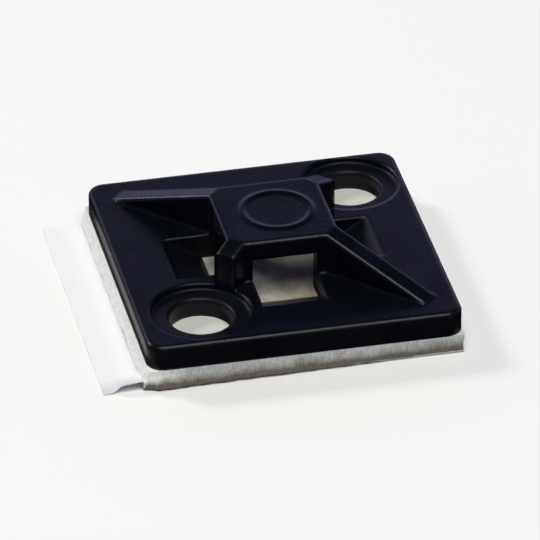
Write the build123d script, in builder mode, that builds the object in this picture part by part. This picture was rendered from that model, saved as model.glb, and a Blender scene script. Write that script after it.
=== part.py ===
"""Square adhesive cable tie mount: a moulded nylon base, a foam tape pad and its release liner.

Origin: middle of the plate, on the surface that the liner lies on. +Z up, -Y is the front.
"""
from math import hypot, sqrt
import os

from build123d import *

# Release liner, left on the adhesive and longer than the foam on the left
liner_thickness = 0.2
liner_tab = 4.05

# Foam tape pad under the plate
foam_thickness = 1.6
foam_overhang = 0.3

# Plate
plate_side = 28.0
plate_thickness = 2.3
plate_corner_radius = 1.5
plate_edge_radius = 0.4

# Bridge over the middle of the plate, open on its four sides
bridge_side = 10.0
bridge_height = 3.85
bridge_roof = 1.75
bridge_edge_radius = 0.32

# Tie passages under the bridge, one along X and one along Y, with a ramp at each end
x_passage_width = 6.6
x_passage_reach = 9.35
x_ramp_run = 3.7
y_passage_width = 5.8
y_passage_reach = 9.3
y_ramp_run = 4.2
ramp_lip_radius = 0.3

# Diagonal ribs from the bridge towards the corners of the plate
rib_width = 2.0
rib_end_inset = 3.55
rib_end_height = 0.15
rib_edge_radius = 0.35

# Screw holes in two opposite corners, each sunk in a round seat for the screw head
screw_hole_diameter = 5.6
screw_seat_diameter = 8.8
screw_seat_depth = 0.55
screw_hole_rim_radius = 0.2
near_hole_from_left = 5.65
near_hole_from_front = 5.2
far_hole_from_right = 5.0
far_hole_from_back = 4.8

# Fine raised ring on top of the bridge
ring_diameter = 6.1
ring_line_width = 0.7
ring_height = 0.12
ring_shift = 0.35

# Levels that follow from the sizes above
foam_top = liner_thickness + foam_thickness
plate_top = foam_top + plate_thickness
bridge_top = plate_top + bridge_height
roof_underside = bridge_top - bridge_roof
seat_floor = plate_top - screw_seat_depth
half_plate = plate_side / 2
half_bridge = bridge_side / 2

# Room that a cutter takes beyond the face that it breaks through
cutter_margin = 0.5
# How closely an edge has to lie to the line that picks it
pick_tolerance = 0.01

with BuildPart() as plate:
    with BuildSketch(Plane.XY.offset(foam_top)):
        RectangleRounded(plate_side, plate_side, plate_corner_radius)
    extrude(amount=plate_thickness)
    fillet(plate.faces().sort_by(Axis.Z)[-1].edges(), plate_edge_radius)

# The corners are cut off as wide as the ribs, which start there at full height.
with BuildPart() as bridge:
    with BuildSketch(Plane.XY.offset(foam_top)) as bridge_outline:
        Rectangle(bridge_side, bridge_side)
        chamfer(bridge_outline.vertices(), rib_width / sqrt(2))
    extrude(amount=bridge_top - foam_top)
    top_edges = bridge.faces().sort_by(Axis.Z)[-1].edges()
    fillet(top_edges.filter_by(Axis.X) + top_edges.filter_by(Axis.Y), bridge_edge_radius)

# A rib stands on the diagonal and starts where its two sides meet the bridge's walls.
rib_start = bridge_side / sqrt(2) - rib_width / 2
rib_end = plate_side / sqrt(2) - rib_end_inset

# The crest falls in a straight line and ends in a low round step above the plate.
with BuildPart() as rib:
    with BuildSketch(Plane.XZ):
        with BuildLine():
            Polyline(
                (rib_start, foam_top),
                (rib_start, bridge_top),
                (rib_end, plate_top + rib_end_height),
                (rib_end, foam_top),
                close=True,
            )
        make_face()
    extrude(amount=rib_width / 2, both=True)
    crest = rib.faces().sort_by(Axis.Z)[-1]
    fillet(crest.edges().sort_by(Axis.Z)[:-1], rib_edge_radius)


def passage_profile(reach, ramp_run):
    """Long section of a tie passage: down a ramp, across the foam, up the other ramp."""
    span = half_bridge + cutter_margin
    foot = reach - ramp_run
    Polyline(
        (-reach, plate_top),
        (-foot, foam_top),
        (foot, foam_top),
        (reach, plate_top),
        (span, plate_top),
        (span, roof_underside),
        (-span, roof_underside),
        (-span, plate_top),
        close=True,
    )


with BuildPart() as x_passage:
    with BuildSketch(Plane.XZ):
        with BuildLine():
            passage_profile(x_passage_reach, x_ramp_run)
        make_face()
    extrude(amount=x_passage_width / 2, both=True)

with BuildPart() as y_passage:
    with BuildSketch(Plane.YZ):
        with BuildLine():
            passage_profile(y_passage_reach, y_ramp_run)
        make_face()
    extrude(amount=y_passage_width / 2, both=True)

# The ring is a low round ridge.
with BuildPart() as ring:
    with BuildSketch(Plane((ring_shift, 0, bridge_top), x_dir=(1, 0, 0), z_dir=(0, -1, 0))):
        with BuildLine():
            ridge_foot = (ring_diameter - ring_line_width) / 2
            ridge_arc = ThreePointArc(
                (ridge_foot, 0),
                (ring_diameter / 2, ring_height),
                (ridge_foot + ring_line_width, 0),
            )
            Line(ridge_arc @ 1, ridge_arc @ 0)
        make_face()
    revolve(axis=Axis((ring_shift, 0, 0), (0, 0, 1)))


def is_ramp_lip(edge):
    """Pick the four edges where a ramp meets the top of the plate."""
    middle = edge.center()
    at_x_lip = hypot(abs(middle.X) - x_passage_reach, middle.Y) < pick_tolerance
    at_y_lip = hypot(abs(middle.Y) - y_passage_reach, middle.X) < pick_tolerance
    return abs(middle.Z - plate_top) < pick_tolerance and (at_x_lip or at_y_lip)


def is_hole_rim(edge):
    """Pick the two circles where a screw hole opens in the floor of its seat."""
    on_floor = abs(edge.center().Z - seat_floor) < pick_tolerance
    return on_floor and abs(edge.radius - screw_hole_diameter / 2) < pick_tolerance


with BuildPart() as mount_base:
    add(plate.part)
    add(bridge.part)
    for corner in range(4):
        add(rib.part, rotation=(0, 0, 45 + 90 * corner))
    add(x_passage.part, mode=Mode.SUBTRACT)
    add(y_passage.part, mode=Mode.SUBTRACT)
    # The head of each screw needs room above its seat too, which cuts two of the ribs short.
    with Locations(
        (near_hole_from_left - half_plate, near_hole_from_front - half_plate, bridge_top),
        (half_plate - far_hole_from_right, half_plate - far_hole_from_back, bridge_top),
    ):
        CounterBoreHole(
            radius=screw_hole_diameter / 2,
            counter_bore_radius=screw_seat_diameter / 2,
            counter_bore_depth=bridge_top - seat_floor,
            depth=bridge_top - foam_top,
        )
    fillet(mount_base.edges().filter_by(is_ramp_lip), ramp_lip_radius)
    fillet(mount_base.edges().filter_by(GeomType.CIRCLE).filter_by(is_hole_rim), screw_hole_rim_radius)
    add(ring.part)

# The foam is cut square and stands out a little past the plate on the left.
with BuildPart() as foam_pad:
    with BuildSketch(Plane.XY.offset(liner_thickness)):
        with Locations((-foam_overhang / 2, 0)):
            Rectangle(plate_side + foam_overhang, plate_side)
    extrude(amount=foam_thickness)

with BuildPart() as release_liner:
    with BuildSketch():
        with Locations((-liner_tab / 2, 0)):
            Rectangle(plate_side + liner_tab, plate_side)
    extrude(amount=liner_thickness)

os.makedirs("parts", exist_ok=True)
mount_base.part.label = "mount_base"
foam_pad.part.label = "foam_pad"
release_liner.part.label = "release_liner"
export_step(mount_base.part, "parts/mount_base.step")
export_step(foam_pad.part, "parts/foam_pad.step")
export_step(release_liner.part, "parts/release_liner.step")
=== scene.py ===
"""Looks for the adhesive cable tie mount: moulded nylon, foam tape, release liner, camera and light."""

import math

import bpy
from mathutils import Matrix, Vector


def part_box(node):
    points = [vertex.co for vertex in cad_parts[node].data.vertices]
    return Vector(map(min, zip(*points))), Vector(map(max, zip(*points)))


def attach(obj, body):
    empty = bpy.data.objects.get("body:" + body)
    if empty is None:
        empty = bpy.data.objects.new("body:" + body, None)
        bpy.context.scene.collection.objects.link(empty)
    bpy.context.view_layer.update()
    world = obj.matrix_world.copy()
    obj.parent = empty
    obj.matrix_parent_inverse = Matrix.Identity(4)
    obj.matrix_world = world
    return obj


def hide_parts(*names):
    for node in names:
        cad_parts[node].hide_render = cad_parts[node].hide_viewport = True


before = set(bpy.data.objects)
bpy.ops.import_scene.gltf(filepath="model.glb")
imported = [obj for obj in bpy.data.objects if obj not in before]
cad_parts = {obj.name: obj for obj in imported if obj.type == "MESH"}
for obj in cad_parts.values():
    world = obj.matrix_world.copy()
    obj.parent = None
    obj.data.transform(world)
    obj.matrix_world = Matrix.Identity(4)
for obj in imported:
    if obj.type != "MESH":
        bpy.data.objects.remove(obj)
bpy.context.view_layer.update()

bl_info = {
    "name": "Adhesive Cable Tie Mount",
    "version": (1, 0, 0),
    "blender": (4, 5, 0),
    "location": "View3D > Sidebar > Tie Mount",
    "description": "Dresses the moulded base, the foam tape and the release liner, and lights them",
    "category": "Object",
}

MM = 0.001
BASE = "mount_base"
PAD = "foam_pad"
LINER = "release_liner"

# A vertex this near to a side lies on it.
ON_SIDE = 0.01 * MM

# Each lamp is a square that faces the mount: its side in metres, the direction that it hangs in seen from
# the mount, and how many metres off.
LAMPS = {
    "key": {"side": 0.14, "towards": (-0.55, 0.59, 0.6), "distance": 0.7},
    "top": {"side": 0.84, "towards": (0.0, -0.36, 0.93), "distance": 1.4},
}
LAMP_COLOUR = (1.0, 1.0, 0.93)

# The photo's side and how far its frame is shifted off the camera's axis, in pixels
PHOTO_SIDE = 540
PHOTO_SHIFT = (-2.8, -0.3)


def linear(code):
    """One sRGB hex colour as linear RGBA."""
    values = [int(code[k : k + 2], 16) / 255 for k in (1, 3, 5)]
    return tuple(v / 12.92 if v <= 0.04045 else ((v + 0.055) / 1.055) ** 2.4 for v in values) + (1.0,)


def shade(colour, factor=1.0):
    """A colour as RGBA, made darker or lighter by a factor."""
    return (*[channel * factor for channel in colour], 1)


def grey(value):
    """One grey as RGBA."""
    return (value, value, value, 1)


def ease(share):
    """A step from 0 to 1 that starts and ends softly."""
    return 0.5 - 0.5 * math.cos(math.pi * min(1.0, max(0.0, share)))


def add_node(tree, kind, settings=None, links=None):
    """Add one node, set its properties and sockets, and link its inputs."""
    node = tree.nodes.new(kind)
    for key, value in (settings or {}).items():
        if isinstance(key, str) and hasattr(node, key):
            setattr(node, key, value)
        else:
            node.inputs[key].default_value = value
    for key, socket in (links or {}).items():
        tree.links.new(socket, node.inputs[key])
    return node


def new_material(name):
    """An empty material and its node tree."""
    material = bpy.data.materials.new(name)
    material.use_nodes = True
    material.node_tree.nodes.clear()
    return material, material.node_tree


def colour_ramp(node, stops):
    """Set a ramp's stops to (position, colour) pairs."""
    ramp = node.color_ramp
    while len(ramp.elements) > 1:
        ramp.elements.remove(ramp.elements[-1])
    ramp.elements[0].position = stops[0][0]
    ramp.elements[0].color = stops[0][1]
    for position, colour in stops[1:]:
        ramp.elements.new(position).color = colour
    return node


def colour_property(name, description, code):
    """A colour that a user may change, given as sRGB hex."""
    return bpy.props.FloatVectorProperty(
        name=name, description=description, subtype="COLOR", size=3, min=0, max=1, default=linear(code)[:3]
    )


def length_property(name, description, millimetres):
    """A small length that a user may change, given in millimetres."""
    return bpy.props.FloatProperty(
        name=name,
        description=description,
        default=millimetres * MM,
        unit="LENGTH",
        subtype="DISTANCE",
        precision=5,
    )


def angle_property(name, description, degrees):
    """An angle that a user may change, given in degrees."""
    return bpy.props.FloatProperty(
        name=name, description=description, default=math.radians(degrees), unit="ROTATION"
    )


class NylonSettings(bpy.types.PropertyGroup):
    """The moulded base."""

    colour: colour_property("Nylon", "Colour of the black nylon, a little blue", "#04070e")
    grain: length_property("Grain", "Size of the mould's matt texture, as drawn", 0.28)
    rounding: length_property("Rounding", "How wide the light runs round an edge", 0.5)
    roughness: bpy.props.FloatProperty(
        name="Roughness", description="Roughness of the moulded skin", default=0.3, min=0, max=1
    )


class FoamSettings(bpy.types.PropertyGroup):
    """The foam tape."""

    colour: colour_property("Foam", "Colour of the clean foam", "#d0d4d0")
    # Painted light: the colour of the left side, which is painted lighter as if lit by the lamp at the left.
    lit_side_colour: colour_property("Lit side", "Colour of the edge beside the tab, which stayed clean", "#fcfbf5")
    # Painted shade: the colour of the foam's top under the bridge, where the bridge shades it.
    bridge_shade_colour: colour_property("Bridge shade", "Colour of the aged adhesive under the bridge", "#8f8779")
    # Painted shade: the cut edge is darker and browner towards its foot, with brownish dust.
    foot_shade_and_dust: colour_property("Cut edge", "Colour of the lower edge, where dust has stuck to it", "#716a60")
    cell: length_property("Cells", "Size of the foam's cells", 0.16)
    spread: length_property("Spread", "How far the foot is pressed out at the near left corner", 0.6)
    slant: length_property("Slant", "How far the left edge leans in at its top and out at its foot", 0.3)
    raggedness: length_property("Raggedness", "How uneven the cut edge is", 0.1)


class LinerSettings(bpy.types.PropertyGroup):
    """The release liner."""

    colour: colour_property("Liner", "Colour of the coated paper", "#f4f4f5")
    thickness: length_property("Thickness", "Thickness of the paper", 0.05)
    curl: length_property("Curl", "How far the outer edge of the tab lifts", 0.02)
    arch: length_property("Arch", "How far the tab's near edge bows up beside the foam", 0.75)


class StageSettings(bpy.types.PropertyGroup):
    """Camera, floor and light."""

    floor: colour_property("Floor", "Colour of the floor", "#f6f6f6")
    mirrored: colour_property("Mirrored floor", "Colour of the floor where the nylon mirrors it", "#1a1a1c")
    lens: bpy.props.FloatProperty(
        name="Lens", description="Focal length of the camera", default=502.5, unit="CAMERA"
    )
    distance: bpy.props.FloatProperty(
        name="Distance",
        description="From the camera to the plate's underside",
        default=0.6641,
        unit="LENGTH",
    )
    azimuth: angle_property("Azimuth", "Turn of the camera from the front", -12.49)
    elevation: angle_property("Elevation", "Height of the camera above the floor", 32.03)
    key_power: bpy.props.FloatProperty(
        name="Key", description="Power of the lamp at the left", default=1.55, unit="POWER"
    )
    top_power: bpy.props.FloatProperty(
        name="Top", description="Power of the lamp overhead", default=17.2, unit="POWER"
    )


def moulded_nylon(low_face, high_face):
    """Injection-moulded nylon 6/6. The eye gets a near-black, slightly blue body, a satin skin with a
    fine matt grain, and thin bright lines on the rounded edges."""
    settings = bpy.context.scene.tie_mount_nylon
    flow_size = 4 * MM
    grain_depth = 0.03 * MM
    gloss_change = 0.1
    material, tree = new_material("moulded_nylon")
    place = add_node(tree, "ShaderNodeTexCoord")
    # The mould's real texture is too fine to show, so the grain is drawn several times coarser.
    grain = add_node(
        tree, "ShaderNodeTexNoise",
        {"Scale": 1 / settings.grain, "Detail": 3.0, "Roughness": 0.6}, {"Vector": place.outputs["Object"]},
    )
    flow = add_node(
        tree, "ShaderNodeTexNoise",
        {"Scale": 1 / flow_size, "Detail": 2.0, "Roughness": 0.5}, {"Vector": place.outputs["Object"]},
    )
    roughness = add_node(
        tree, "ShaderNodeMapRange",
        {
            "From Min": 0.2, "From Max": 0.8,
            "To Min": settings.roughness - gloss_change, "To Max": settings.roughness,
        },
        {"Value": flow.outputs["Fac"]},
    )
    # The walls low down are duller than the polished top of the bridge.
    parts = add_node(tree, "ShaderNodeSeparateXYZ", {}, {"Vector": place.outputs["Object"]})
    level = add_node(
        tree, "ShaderNodeMapRange",
        {"From Min": low_face, "From Max": high_face}, {"Value": parts.outputs["Z"]},
    )
    dullness = colour_ramp(
        add_node(tree, "ShaderNodeValToRGB", {}, {"Fac": level.outputs["Result"]}),
        [(0.28, grey(0.17)), (0.35, grey(0.03)), (0.9, grey(0.03)), (0.97, grey(0))],
    )
    # The wall over the liner's tab is dullest at its foot, where the tape's adhesive has touched it.
    facing = add_node(tree, "ShaderNodeNewGeometry")
    slope = add_node(tree, "ShaderNodeSeparateXYZ", {}, {"Vector": facing.outputs["Normal"]})
    left = add_node(
        tree, "ShaderNodeMapRange",
        {"From Min": -0.9, "From Max": -0.6, "To Min": 0.55, "To Max": 0.0}, {"Value": slope.outputs["X"]},
    )
    foot = add_node(
        tree, "ShaderNodeMapRange",
        {"From Min": 0.1, "From Max": 0.17, "To Min": 1.0, "To Max": 0.0},
        {"Value": level.outputs["Result"]},
    )
    dulled = add_node(
        tree, "ShaderNodeMath", {"operation": "MULTIPLY_ADD"},
        {0: left.outputs["Result"], 1: foot.outputs["Result"], 2: dullness.outputs["Color"]},
    )
    skin = add_node(
        tree, "ShaderNodeMath", {"operation": "ADD"},
        {0: roughness.outputs["Result"], 1: dulled.outputs["Value"]},
    )
    # A mould's edges are never quite sharp, so the light runs round each one.
    edges = add_node(tree, "ShaderNodeBevel", {"samples": 8, "Radius": settings.rounding})
    bump = add_node(
        tree, "ShaderNodeBump", {"Strength": 0.6, "Distance": grain_depth},
        {"Height": grain.outputs["Fac"], "Normal": edges.outputs["Normal"]},
    )
    mix = colour_ramp(
        add_node(tree, "ShaderNodeValToRGB", {}, {"Fac": flow.outputs["Fac"]}),
        [(0.25, shade(settings.colour, 0.7)), (0.75, shade(settings.colour, 1.3))],
    )
    surface = add_node(
        tree, "ShaderNodeBsdfPrincipled", {"IOR": 1.53, "Specular IOR Level": 0.2},
        {
            "Base Color": mix.outputs["Color"],
            "Roughness": skin.outputs["Value"],
            "Normal": bump.outputs["Normal"],
        },
    )
    add_node(tree, "ShaderNodeOutputMaterial", {}, {"Surface": surface.outputs["BSDF"]})
    return material


def cell_foam(low, high):
    """Closed-cell polyethylene foam, die cut. The eye gets a soft white edge with fine cells, and a browner
    streaked line low down: painted shade at the foot, with brownish dust. The left side is painted lighter
    where the lamp at the left falls on it, and the top under the bridge is painted darker as the bridge's
    shade."""
    settings = bpy.context.scene.tie_mount_foam
    blotch_size = 2.5 * MM
    streak_width = 0.2 * MM
    streak_height = 0.7 * MM
    cell_depth = 0.08 * MM
    lit_reach = 4.5 * MM
    bridge_shade_radius = 5.6 * MM
    bridge_shade_outer_radius = 7 * MM
    material, tree = new_material("cell_foam")
    place = add_node(tree, "ShaderNodeTexCoord")
    cells = add_node(
        tree, "ShaderNodeTexVoronoi", {"Scale": 1 / settings.cell}, {"Vector": place.outputs["Object"]}
    )
    blotches = add_node(
        tree, "ShaderNodeTexNoise",
        {"Scale": 1 / blotch_size, "Detail": 5.0, "Roughness": 0.6}, {"Vector": place.outputs["Object"]},
    )
    stretched = add_node(
        tree, "ShaderNodeMapping", {"Scale": (1 / streak_width, 1 / streak_width, 1 / streak_height)},
        {"Vector": place.outputs["Object"]},
    )
    fibres = add_node(
        tree, "ShaderNodeTexNoise",
        {"Scale": 1.0, "Detail": 3.0, "Roughness": 0.6}, {"Vector": stretched.outputs["Vector"]},
    )
    # The edge darkens and browns downwards, along a line that wanders: painted shade at the foot, with
    # brownish dust. The sides start a little darker than the top.
    parts = add_node(tree, "ShaderNodeSeparateXYZ", {}, {"Vector": place.outputs["Object"]})
    height = add_node(
        tree, "ShaderNodeMapRange",
        {"From Min": low.z, "From Max": high.z, "To Min": 0.0, "To Max": 1.0}, {"Value": parts.outputs["Z"]},
    )
    wander = add_node(
        tree, "ShaderNodeMath",
        {"operation": "MULTIPLY_ADD", 1: 0.7, 2: -0.35}, {0: blotches.outputs["Fac"]},
    )
    ragged = add_node(
        tree, "ShaderNodeMath", {"operation": "ADD"},
        {0: height.outputs["Result"], 1: wander.outputs["Value"]},
    )
    side = shade(settings.colour, 0.95)
    between = shade([(a + b) / 2 for a, b in zip(side, settings.foot_shade_and_dust)])
    tint = colour_ramp(
        add_node(tree, "ShaderNodeValToRGB", {}, {"Fac": ragged.outputs["Value"]}),
        [(0.27, shade(settings.foot_shade_and_dust)), (0.52, between), (0.85, side)],
    )
    streaks = colour_ramp(
        add_node(tree, "ShaderNodeValToRGB", {}, {"Fac": fibres.outputs["Fac"]}),
        [(0.35, (0.72, 0.72, 0.74, 1)), (0.65, grey(1))],
    )
    shaded_colour = add_node(
        tree, "ShaderNodeMix", {"data_type": "RGBA", "blend_type": "MULTIPLY", 0: 1.0},
        {6: tint.outputs["Color"], 7: streaks.outputs["Color"]},
    )
    # The top keeps the foam's plain colour. The left side beside the liner's tab, and the near side part of
    # the way, are painted lighter in flecks: painted light where the lamp at the left falls.
    facing = add_node(tree, "ShaderNodeNewGeometry")
    slope = add_node(tree, "ShaderNodeSeparateXYZ", {}, {"Vector": facing.outputs["Normal"]})
    left_side_lit = add_node(
        tree, "ShaderNodeMapRange",
        {"From Min": -0.85, "From Max": -0.4, "To Min": 1.0, "To Max": 0.0}, {"Value": slope.outputs["X"]},
    )
    level = add_node(
        tree, "ShaderNodeMapRange", {"From Min": 0.8, "From Max": 0.95}, {"Value": slope.outputs["Z"]}
    )
    top = add_node(
        tree, "ShaderNodeMix", {"data_type": "RGBA", 7: shade(settings.colour)},
        {0: level.outputs["Result"], 6: shaded_colour.outputs[2]},
    )
    fading = add_node(
        tree, "ShaderNodeMapRange",
        {"From Min": low.x, "From Max": low.x + lit_reach, "To Min": 0.95, "To Max": 0.0},
        {"Value": parts.outputs["X"]},
    )
    upper = add_node(
        tree, "ShaderNodeMapRange", {"From Min": 0.25, "From Max": 0.6}, {"Value": ragged.outputs["Value"]}
    )
    partly = add_node(
        tree, "ShaderNodeMath", {"operation": "MULTIPLY"},
        {0: fading.outputs["Result"], 1: upper.outputs["Result"]},
    )
    lit_side_mask = add_node(
        tree, "ShaderNodeMath", {"operation": "MAXIMUM"},
        {0: left_side_lit.outputs["Result"], 1: partly.outputs["Value"]},
    )
    # Under the bridge the top is painted darker in blotches: painted shade of the bridge.
    under_bridge = (0.0, (low.y + high.y) / 2, high.z)
    away = add_node(
        tree, "ShaderNodeVectorMath",
        {"operation": "DISTANCE", 1: under_bridge}, {0: place.outputs["Object"]},
    )
    middle = add_node(
        tree, "ShaderNodeMapRange",
        {"From Min": bridge_shade_radius, "From Max": bridge_shade_outer_radius, "To Min": 1.0, "To Max": 0.0},
        {"Value": away.outputs["Value"]},
    )
    blotch = add_node(
        tree, "ShaderNodeMapRange",
        {"From Min": 0.25, "From Max": 0.6, "To Min": 0.35}, {"Value": blotches.outputs["Fac"]},
    )
    bridge_shade_mask = add_node(
        tree, "ShaderNodeMath", {"operation": "MULTIPLY"},
        {0: middle.outputs["Result"], 1: blotch.outputs["Result"]},
    )
    shaded_under_bridge = add_node(
        tree, "ShaderNodeMix", {"data_type": "RGBA", 7: shade(settings.bridge_shade_colour)},
        {0: bridge_shade_mask.outputs["Value"], 6: top.outputs[2]},
    )
    # Flecks in the painted light colour of the lit left side.
    lit_flecks = colour_ramp(
        add_node(tree, "ShaderNodeValToRGB", {}, {"Fac": fibres.outputs["Fac"]}),
        [(0.38, shade(settings.lit_side_colour, 0.82)), (0.58, shade(settings.lit_side_colour))],
    )
    edge = add_node(
        tree, "ShaderNodeMix", {"data_type": "RGBA"},
        {0: lit_side_mask.outputs["Value"], 6: shaded_under_bridge.outputs[2], 7: lit_flecks.outputs["Color"]},
    )
    relief = add_node(
        tree, "ShaderNodeMath",
        {"operation": "ADD"}, {0: cells.outputs["Distance"], 1: fibres.outputs["Fac"]},
    )
    bump = add_node(
        tree, "ShaderNodeBump",
        {"Strength": 0.7, "Distance": cell_depth}, {"Height": relief.outputs["Value"]},
    )
    surface = add_node(
        tree, "ShaderNodeBsdfPrincipled", {"IOR": 1.3, "Roughness": 0.9, "Sheen Weight": 0.1},
        {"Base Color": edge.outputs[2], "Normal": bump.outputs["Normal"]},
    )
    add_node(tree, "ShaderNodeOutputMaterial", {}, {"Surface": surface.outputs["BSDF"]})
    return material


def coated_paper(low):
    """Silicone-coated release paper. The eye gets a smooth off-white sheet with faint cloudy fibres, a
    little greyer at its near end: painted shade."""
    settings = bpy.context.scene.tie_mount_liner
    cloud_size = 1.6 * MM
    fibre_depth = 0.02 * MM
    near_shade_reach = 2.2 * MM
    material, tree = new_material("coated_paper")
    place = add_node(tree, "ShaderNodeTexCoord")
    fibres = add_node(
        tree, "ShaderNodeTexNoise",
        {"Scale": 1 / cloud_size, "Detail": 6.0, "Roughness": 0.7}, {"Vector": place.outputs["Object"]},
    )
    tint = colour_ramp(
        add_node(tree, "ShaderNodeValToRGB", {}, {"Fac": fibres.outputs["Fac"]}),
        [(0.3, shade(settings.colour, 0.98)), (0.7, shade(settings.colour))],
    )
    parts = add_node(tree, "ShaderNodeSeparateXYZ", {}, {"Vector": place.outputs["Object"]})
    # Painted shade: the sheet greys towards its near end.
    near_edge_shade = add_node(
        tree, "ShaderNodeMapRange",
        {"From Min": low.y, "From Max": low.y + near_shade_reach, "To Min": 0.72, "To Max": 1.0},
        {"Value": parts.outputs["Y"]},
    )
    shaded_colour = add_node(
        tree, "ShaderNodeMix", {"data_type": "RGBA", "blend_type": "MULTIPLY", 0: 1.0},
        {6: tint.outputs["Color"], 7: near_edge_shade.outputs["Result"]},
    )
    bump = add_node(
        tree, "ShaderNodeBump",
        {"Strength": 0.2, "Distance": fibre_depth}, {"Height": fibres.outputs["Fac"]},
    )
    surface = add_node(
        tree, "ShaderNodeBsdfPrincipled", {"IOR": 1.42, "Roughness": 0.42},
        {"Base Color": shaded_colour.outputs[2], "Normal": bump.outputs["Normal"]},
    )
    add_node(tree, "ShaderNodeOutputMaterial", {}, {"Surface": surface.outputs["BSDF"]})
    return material


def deselect():
    """Leave object mode with nothing selected."""
    if bpy.context.object and bpy.context.object.mode != "OBJECT":
        bpy.ops.object.mode_set(mode="OBJECT")
    bpy.ops.object.select_all(action="DESELECT")


def settle(piece):
    """Move the piece's place into its mesh."""
    deselect()
    piece.select_set(True)
    bpy.context.view_layer.objects.active = piece
    bpy.ops.object.transform_apply(location=True, rotation=True, scale=True)


def lay_grid(name, low, high, across, along):
    """A flat grid over the top of a box, settled and selected."""
    centre = (low + high) / 2
    deselect()
    bpy.ops.mesh.primitive_grid_add(
        x_subdivisions=across, y_subdivisions=along, size=1, location=(centre.x, centre.y, high.z)
    )
    piece = bpy.context.object
    piece.name = name
    piece.scale = (high.x - low.x, high.y - low.y, 1)
    settle(piece)
    return piece


def dress(piece, material):
    """Give the whole piece one material."""
    piece.data.materials.clear()
    piece.data.materials.append(material)


class TIEMOUNT_OT_finish_base(bpy.types.Operator):
    """Give the moulded base its nylon"""

    bl_idname = "tiemount.finish_base"
    bl_label = "Finish the base"

    def execute(self, context):
        low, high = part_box(BASE)
        dress(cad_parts[BASE], moulded_nylon(low.z, high.z))
        return {"FINISHED"}


class TIEMOUNT_OT_add_foam_pad(bpy.types.Operator):
    """Build the foam tape with its cut edge"""

    bl_idname = "tiemount.add_foam_pad"
    bl_label = "Foam pad"

    def execute(self, context):
        settings = context.scene.tie_mount_foam
        low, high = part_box(PAD)
        pad = lay_grid("foam_tape", low, high, across=110, along=110)
        self.pull_down(pad, high.z - low.z)
        self.press_out(pad, settings, low, high)
        self.fray(pad, settings, low, high)
        bpy.ops.object.shade_smooth_by_angle(angle=math.radians(50))
        dress(pad, cell_foam(low, high))
        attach(pad, "root")
        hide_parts(PAD)
        return {"FINISHED"}

    def pull_down(self, pad, thickness):
        """Pull the grid down into a block whose cut edge has even rings."""
        rings = 8
        bpy.ops.object.mode_set(mode="EDIT")
        bpy.ops.mesh.select_all(action="SELECT")
        for _ in range(rings):
            bpy.ops.mesh.extrude_region_move(TRANSFORM_OT_translate={"value": (0, 0, -thickness / rings)})
        bpy.ops.object.mode_set(mode="OBJECT")

    def press_out(self, pad, settings, low, high):
        """Press the near side's foot out, less towards the right, and lean the left side."""
        pressed_from, pressed_over = 0.3, 0.45
        corner_share, corner_reach = 0.3, 1.5 * MM
        for vertex in pad.data.vertices:
            below = (high.z - vertex.co.z) / (high.z - low.z)
            along = (vertex.co.x - low.x) / (high.x - low.x)
            rounded = min(1.0, corner_share + (vertex.co.x - low.x) / corner_reach)
            if vertex.co.y < low.y + ON_SIDE:
                pressed = ease((below - pressed_from) / pressed_over)
                vertex.co.y -= settings.spread * pressed * (1 - along) * rounded
            if vertex.co.x < low.x + ON_SIDE:
                vertex.co.x += settings.slant * (1 - 2 * below)
        bpy.ops.object.mode_set(mode="EDIT")
        bpy.ops.mesh.select_all(action="SELECT")
        bpy.ops.mesh.normals_make_consistent(inside=False)
        bpy.ops.object.mode_set(mode="OBJECT")

    def fray(self, pad, settings, low, high):
        """Push the cut edge in unevenly, most at its foot."""
        reach = 0.6 * MM
        share_at_top, growth = 0.15, 1.6
        edge = pad.vertex_groups.new(name="cut_edge")
        for vertex in pad.data.vertices:
            x, y, z = vertex.co
            inset = min(x - low.x, high.x - x, y - low.y, high.y - y)
            below = (high.z - z) / (high.z - low.z)
            if inset < reach:
                share = min(1.0, share_at_top + below * growth)
                edge.add([vertex.index], share * (1 - inset / reach), "REPLACE")
        # The clouds lie about half way between 0 and 1, so twice the raggedness pushes in about once.
        clouds = bpy.data.textures.new("foam_edge", "CLOUDS")
        clouds.noise_scale = 0.9 * MM
        clouds.noise_depth = 3
        ragged = pad.modifiers.new("ragged", "DISPLACE")
        ragged.texture = clouds
        ragged.texture_coords = "LOCAL"
        ragged.vertex_group = "cut_edge"
        ragged.strength = -2 * settings.raggedness
        ragged.mid_level = 0.0
        bpy.ops.object.modifier_apply(modifier=ragged.name)


class TIEMOUNT_OT_add_release_liner(bpy.types.Operator):
    """Lay the release liner under the foam"""

    bl_idname = "tiemount.add_release_liner"
    bl_label = "Release liner"

    def execute(self, context):
        settings = context.scene.tie_mount_liner
        low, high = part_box(LINER)
        liner = lay_grid("liner_sheet", low, high, across=64, along=56)
        self.shape_tab(liner, settings, low, high)
        paper = liner.modifiers.new("paper", "SOLIDIFY")
        paper.thickness = settings.thickness
        paper.offset = -1
        bpy.ops.object.modifier_apply(modifier=paper.name)
        bpy.ops.object.shade_smooth_by_angle(angle=math.radians(40))
        dress(liner, coated_paper(low))
        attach(liner, "root")
        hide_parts(LINER)
        return {"FINISHED"}

    def shape_tab(self, liner, settings, low, high):
        """Lay the tab on the floor, with its outer edge lifted and its near edge bowed up by the foam."""
        foam_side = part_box(PAD)[0].x
        bow_length = 3.5 * MM
        bow_end, bow_rise = 0.82, 0.3
        lying_from = 0.6
        for vertex in liner.data.vertices:
            out = (foam_side - vertex.co.x) / (foam_side - low.x)
            if out <= 0:
                continue
            near = max(0.0, 1 - (vertex.co.y - low.y) / bow_length)
            bow = ease((bow_end - out) / bow_rise)
            vertex.co.z += settings.curl * out**3 + settings.arch * bow * near**2
            vertex.co.z -= (high.z - low.z - settings.thickness) * ease(out / lying_from)


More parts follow.
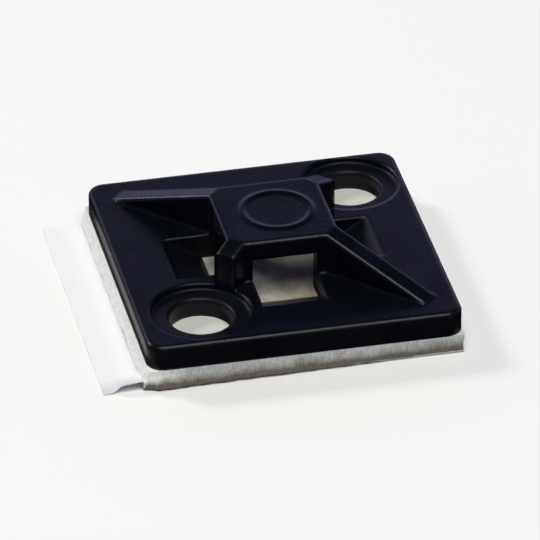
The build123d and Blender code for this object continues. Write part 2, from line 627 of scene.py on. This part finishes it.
class TIEMOUNT_OT_set_stage(bpy.types.Operator):
    """Put up the floor, the lamps, the surroundings and the camera"""

    bl_idname = "tiemount.set_stage"
    bl_label = "Stage"

    def execute(self, context):
        settings = context.scene.tie_mount_stage
        self.lay_floor(settings)
        self.paint_surroundings(settings)
        self.hang_lamp("key", settings.key_power)
        self.hang_lamp("top", settings.top_power)
        self.place_camera(context, settings)
        context.scene.view_settings.view_transform = "Standard"
        return {"FINISHED"}

    def lay_floor(self, settings):
        """A pale floor, which the nylon mirrors as a dark one."""
        room_below = 0.02 * MM
        deselect()
        bpy.ops.mesh.primitive_plane_add(size=4, location=(0, 0, -room_below))
        floor = bpy.context.object
        floor.name = "floor"
        settle(floor)
        material, tree = new_material("white_table")
        ray = add_node(tree, "ShaderNodeLightPath")
        tone = add_node(
            tree, "ShaderNodeMix",
            {"data_type": "RGBA", 6: shade(settings.floor), 7: shade(settings.mirrored)},
            {0: ray.outputs["Is Glossy Ray"]},
        )
        surface = add_node(
            tree, "ShaderNodeBsdfPrincipled", {"Roughness": 0.9, "Specular IOR Level": 0.0},
            {"Base Color": tone.outputs[2]},
        )
        add_node(tree, "ShaderNodeOutputMaterial", {}, {"Surface": surface.outputs["BSDF"]})
        dress(floor, material)

    def paint_surroundings(self, settings):
        """A studio whose low wall at the back is bright and bluish, with dark walls above it. The camera
        itself sees the floor's colour."""
        world = bpy.data.worlds.new("studio")
        bpy.context.scene.world = world
        world.use_nodes = True
        tree = world.node_tree
        tree.nodes.clear()
        place = add_node(tree, "ShaderNodeTexCoord")
        parts = add_node(tree, "ShaderNodeSeparateXYZ", {}, {"Vector": place.outputs["Generated"]})
        walls = colour_ramp(
            add_node(tree, "ShaderNodeValToRGB", {}, {"Fac": parts.outputs["Z"]}),
            [
                (0.1, (0.56, 0.55, 0.95, 1)),
                (0.38, (0.62, 0.61, 1.02, 1)),
                (0.5, (0.022, 0.024, 0.078, 1)),
                (1.0, grey(0.03)),
            ],
        )
        behind = add_node(
            tree, "ShaderNodeMapRange",
            {"From Min": -0.2, "From Max": 0.5, "To Min": 0.3, "To Max": 1.0}, {"Value": parts.outputs["Y"]},
        )
        room = add_node(
            tree, "ShaderNodeBackground", {},
            {"Color": walls.outputs["Color"], "Strength": behind.outputs["Result"]},
        )
        plain = add_node(tree, "ShaderNodeBackground", {"Color": shade(settings.floor), "Strength": 1.0})
        ray = add_node(tree, "ShaderNodeLightPath")
        both = add_node(
            tree, "ShaderNodeMixShader", {},
            {0: ray.outputs["Is Camera Ray"], 1: room.outputs["Background"], 2: plain.outputs["Background"]},
        )
        add_node(tree, "ShaderNodeOutputWorld", {}, {"Surface": both.outputs["Shader"]})

    def hang_lamp(self, name, power):
        """One of the square lamps, at its place and turned to the mount."""
        direction = Vector(LAMPS[name]["towards"]).normalized()
        lamp = bpy.data.lights.new(name, "AREA")
        lamp.shape = "SQUARE"
        lamp.size = LAMPS[name]["side"]
        lamp.energy = power
        lamp.color = LAMP_COLOUR
        holder = bpy.data.objects.new(name, lamp)
        holder.location = direction * LAMPS[name]["distance"]
        holder.rotation_euler = direction.to_track_quat("Z", "Y").to_euler()
        bpy.context.scene.collection.objects.link(holder)

    def place_camera(self, context, settings):
        """The photo's viewing angle and frame."""
        target = Vector((0, 0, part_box(BASE)[0].z))
        flat = math.cos(settings.elevation)
        towards = Vector((
            math.sin(settings.azimuth) * flat,
            -math.cos(settings.azimuth) * flat,
            math.sin(settings.elevation),
        ))
        data = bpy.data.cameras.new("photo")
        data.lens = settings.lens
        data.sensor_width = 36
        data.shift_x = PHOTO_SHIFT[0] / PHOTO_SIDE
        data.shift_y = PHOTO_SHIFT[1] / PHOTO_SIDE
        camera = bpy.data.objects.new("photo", data)
        camera.location = target + towards * settings.distance
        camera.rotation_euler = towards.to_track_quat("Z", "Y").to_euler()
        context.scene.collection.objects.link(camera)
        context.scene.camera = camera


class TIEMOUNT_PT_panel(bpy.types.Panel):
    """Everything that dresses the mount"""

    bl_label = "Tie Mount"
    bl_idname = "TIEMOUNT_PT_panel"
    bl_space_type = "VIEW_3D"
    bl_region_type = "UI"
    bl_category = "Tie Mount"

    def draw(self, context):
        for group, operator in STEPS.items():
            box = self.layout.box()
            settings = getattr(context.scene, group)
            for name in settings.__annotations__:
                box.prop(settings, name)
            box.operator(operator)


STEPS = {
    "tie_mount_nylon": "tiemount.finish_base",
    "tie_mount_foam": "tiemount.add_foam_pad",
    "tie_mount_liner": "tiemount.add_release_liner",
    "tie_mount_stage": "tiemount.set_stage",
}
GROUPS = {
    "tie_mount_nylon": NylonSettings,
    "tie_mount_foam": FoamSettings,
    "tie_mount_liner": LinerSettings,
    "tie_mount_stage": StageSettings,
}
CLASSES = (
    *GROUPS.values(),
    TIEMOUNT_OT_finish_base,
    TIEMOUNT_OT_add_foam_pad,
    TIEMOUNT_OT_add_release_liner,
    TIEMOUNT_OT_set_stage,
    TIEMOUNT_PT_panel,
)


def register():
    for each in CLASSES:
        bpy.utils.register_class(each)
    for name, group in GROUPS.items():
        setattr(bpy.types.Scene, name, bpy.props.PointerProperty(type=group))


def unregister():
    for name in GROUPS:
        delattr(bpy.types.Scene, name)
    for each in reversed(CLASSES):
        bpy.utils.unregister_class(each)


def main():
    register()
    bpy.ops.tiemount.finish_base()
    bpy.ops.tiemount.add_foam_pad()
    bpy.ops.tiemount.add_release_liner()
    bpy.ops.tiemount.set_stage()


if __name__ == "__main__":
    main()
